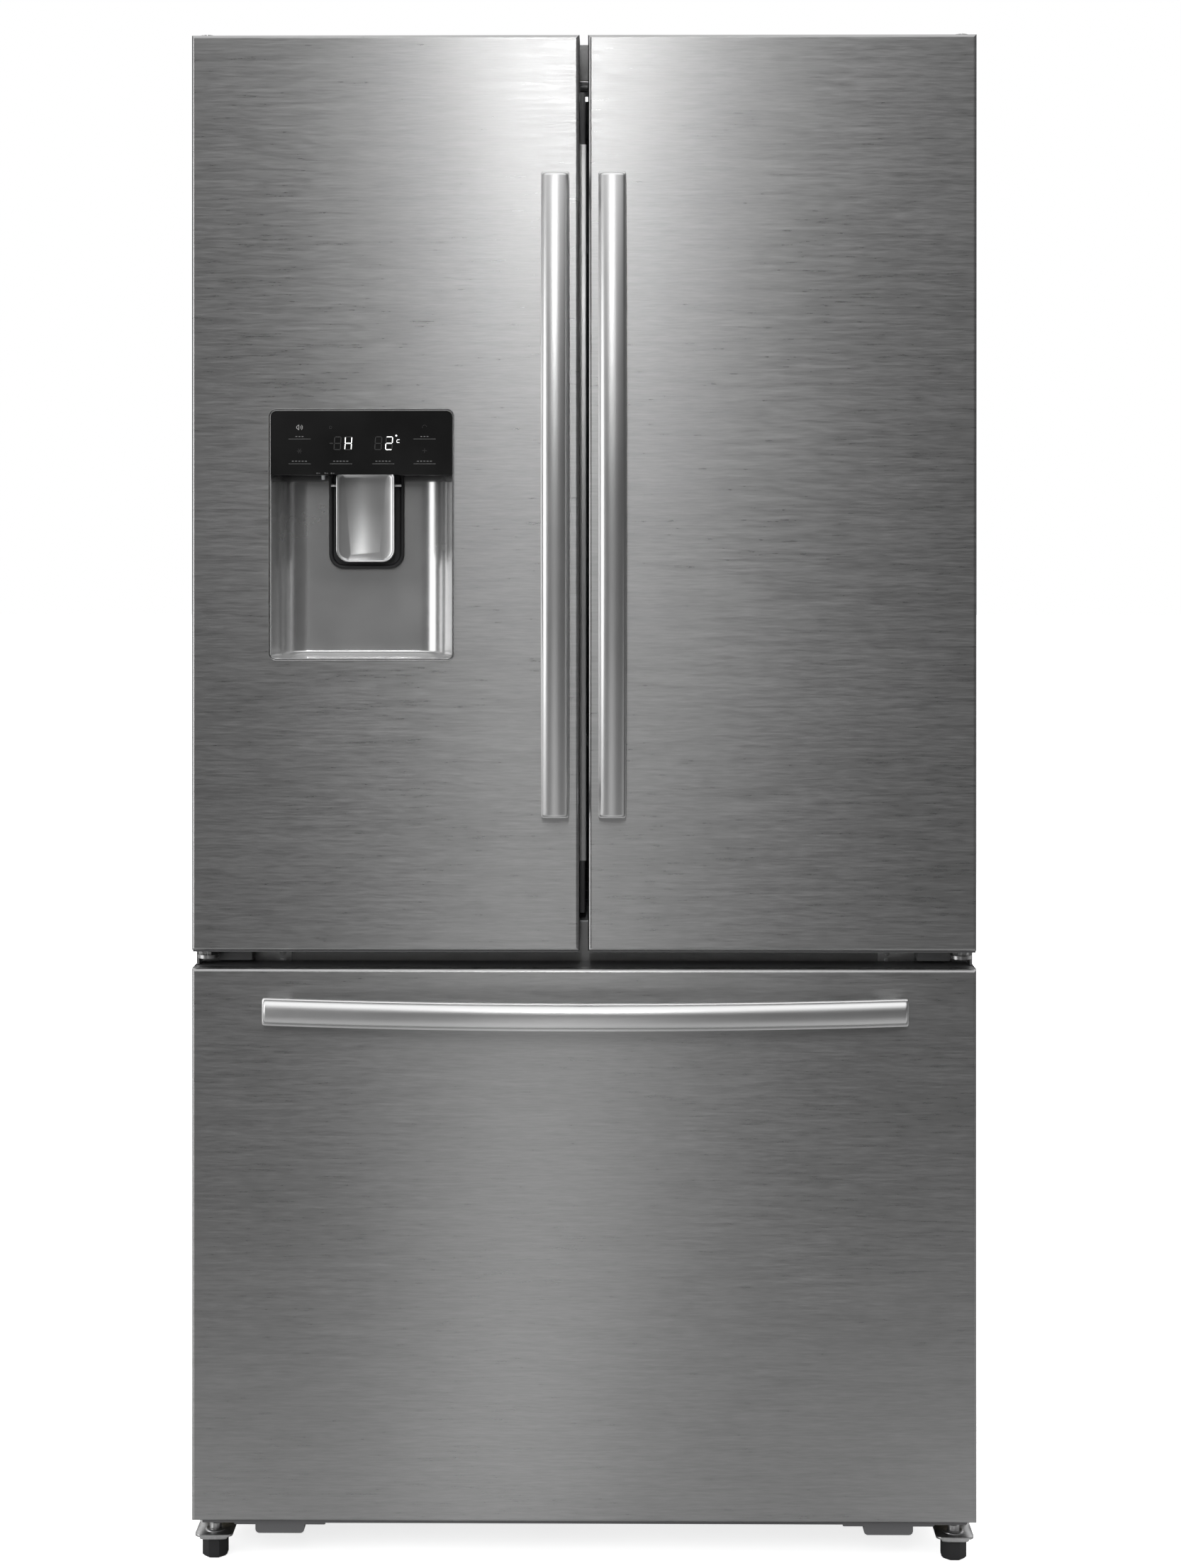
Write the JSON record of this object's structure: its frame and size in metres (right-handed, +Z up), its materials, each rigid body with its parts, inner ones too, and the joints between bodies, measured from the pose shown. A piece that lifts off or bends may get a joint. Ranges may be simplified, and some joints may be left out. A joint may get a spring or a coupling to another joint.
{
  "type": "french door refrigerator",
  "caption": "Freestanding refrigerator with two side-hinged upper doors, a water dispenser in one door and a full-width freezer drawer below.",
  "frame": {"origin": "centre of the overall box at floor level", "axes": "+Z up, the doors face -Y, +X to the right seen from the front"},
  "size_m": [0.91, 0.752, 1.785],
  "materials": {
    "brushed_front": "horizontally brushed",
    "handle_steel": "satin",
    "cabinet_grey": "satin",
    "galvanised": "galvanised",
    "dark_cap": "matte",
    "dark_steel": "satin",
    "foam": "rigid insulation foam",
    "liner_white": "smooth",
    "white_plastic": "satin",
    "clear_plastic": "clear",
    "gasket_grey": "soft",
    "shelf_glass": "tempered",
    "black_glass": "gloss",
    "chrome_trim": "polished",
    "dispenser_grey": "metallic gloss",
    "paddle_grey": "metallic gloss",
    "zinc_steel": "zinc plated",
    "slide_steel": "zinc plated",
    "black_plastic": "matte",
    "grey_plastic": "matte",
    "compressor_black": "semi gloss",
    "coil_black": "semi gloss",
    "coil_aluminium": "raw"
  },
  "bodies": {
    "cabinet": {"cabinet_shell": "cabinet_grey", "insulation_foam": "foam", "back_panel": "galvanised", "fridge_liner": "liner_white", "freezer_liner": "liner_white", "centre_rail": "dark_steel", "bottom_trim": "black_plastic", "door_hinges": "zinc_steel", "hinge_covers": "grey_plastic", "screws": "zinc_steel", "glass_shelves": "shelf_glass", "shelf_trims": "white_plastic", "air_duct": "white_plastic", "evaporator_cover": "white_plastic", "evaporator_coil": "coil_aluminium", "machine_tray": "galvanised", "compressor": "compressor_black", "condenser_coil": "coil_black", "rear_cover": "galvanised", "power_inlet": "black_plastic", "foot_brackets": "zinc_steel", "fixed_slides": "slide_steel"},
    "left_door": {"left_door_skin": "brushed_front", "left_door_foam": "foam", "left_door_liner": "liner_white", "left_door_caps": "dark_cap", "left_door_gasket": "gasket_grey", "left_handle": "handle_steel", "left_door_bins": "clear_plastic", "dispenser_housing": "dispenser_grey", "dispenser_bezel": "chrome_trim", "display_panel": "black_glass", "water_tank": "clear_plastic"},
    "dispenser_paddle": {"dispenser_paddle": "paddle_grey"},
    "mullion_flap": {"mullion_flap": "grey_plastic"},
    "right_door": {"right_door_skin": "brushed_front", "right_door_foam": "foam", "right_door_liner": "liner_white", "right_door_caps": "dark_cap", "right_door_gasket": "gasket_grey", "right_handle": "handle_steel", "right_door_bins": "clear_plastic"},
    "dairy_lid": {"dairy_lid": "clear_plastic"},
    "drawer": {"drawer_skin": "brushed_front", "drawer_foam": "foam", "drawer_liner": "liner_white", "drawer_caps": "dark_cap", "drawer_gasket": "gasket_grey", "drawer_handle": "handle_steel", "drawer_basket": "white_plastic", "inner_slides": "slide_steel"},
    "middle_slides": {"middle_slides": "slide_steel"},
    "freezer_tray": {"freezer_tray": "white_plastic"},
    "crisper_left": {"crisper_left": "clear_plastic"},
    "crisper_right": {"crisper_right": "clear_plastic"},
    "foot_left": {"foot_left": "black_plastic"},
    "foot_right": {"foot_right": "black_plastic"},
    "rear_rollers": {"rear_rollers": "black_plastic"},
    "condenser_fan": {"condenser_fan": "black_plastic"},
    "evaporator_fan": {"evaporator_fan": "white_plastic"}
  },
  "joints": [
    {"name": "left_door_hinge", "type": "hinge", "parent": "cabinet", "child": "left_door", "pos_m": [-0.441, -0.282, 1.2], "axis": [0, 0, -1], "range_deg": [0, 120]},
    {"name": "right_door_hinge", "type": "hinge", "parent": "cabinet", "child": "right_door", "pos_m": [0.441, -0.282, 1.2], "axis": [0, 0, 1], "range_deg": [0, 120]},
    {"name": "mullion_flap_hinge", "type": "hinge", "parent": "left_door", "child": "mullion_flap", "pos_m": [-0.042, -0.228, 1.23], "axis": [0, 0, 1], "range_deg": [0, 81]},
    {"name": "paddle_press", "type": "hinge", "parent": "left_door", "child": "dispenser_paddle", "pos_m": [-0.2555, -0.275, 1.253], "axis": [1, 0, 0], "range_deg": [0, 6], "stiffness_Nm_per_rad": 0.6, "springref_deg": -2.86},
    {"name": "dairy_lid_hinge", "type": "hinge", "parent": "right_door", "child": "dairy_lid", "pos_m": [0.22, -0.237, 1.603], "axis": [1, 0, 0], "range_deg": [0, 80]},
    {"name": "drawer_slide", "type": "slide", "parent": "cabinet", "child": "drawer", "axis": [0, -1, 0], "range_m": [0, 0.4]},
    {"name": "middle_slides_slide", "type": "slide", "parent": "cabinet", "child": "middle_slides", "axis": [0, -1, 0], "range_m": [0, 0.2]},
    {"name": "freezer_tray_slide", "type": "slide", "parent": "drawer", "child": "freezer_tray", "axis": [0, 1, 0], "range_m": [0, 0.12]},
    {"name": "crisper_left_slide", "type": "slide", "parent": "cabinet", "child": "crisper_left", "axis": [0, -1, 0], "range_m": [0, 0.085]},
    {"name": "crisper_right_slide", "type": "slide", "parent": "cabinet", "child": "crisper_right", "axis": [0, -1, 0], "range_m": [0, 0.085]},
    {"name": "foot_left_screw", "type": "hinge", "parent": "cabinet", "child": "foot_left", "pos_m": [-0.432, -0.28, 0.02], "axis": [0, 0, 1], "range_deg": [-180, 180]},
    {"name": "foot_right_screw", "type": "hinge", "parent": "cabinet", "child": "foot_right", "pos_m": [0.432, -0.28, 0.02], "axis": [0, 0, 1], "range_deg": [-180, 180]},
    {"name": "rear_rollers_spin", "type": "hinge", "parent": "cabinet", "child": "rear_rollers", "pos_m": [0, 0.3, 0.018], "axis": [1, 0, 0], "continuous": true},
    {"name": "condenser_fan_spin", "type": "hinge", "parent": "cabinet", "child": "condenser_fan", "pos_m": [0.052, 0.262, 0.18], "axis": [1, 0, 0], "continuous": true},
    {"name": "evaporator_fan_spin", "type": "hinge", "parent": "cabinet", "child": "evaporator_fan", "pos_m": [0, 0.268, 0.6], "axis": [0, 1, 0], "continuous": true}
  ],
  "couplings": [
    {"joint": "mullion_flap_hinge", "follows": "left_door_hinge", "ratio": 0.6667},
    {"joint": "middle_slides_slide", "follows": "drawer_slide", "ratio": 0.5}
  ]
}
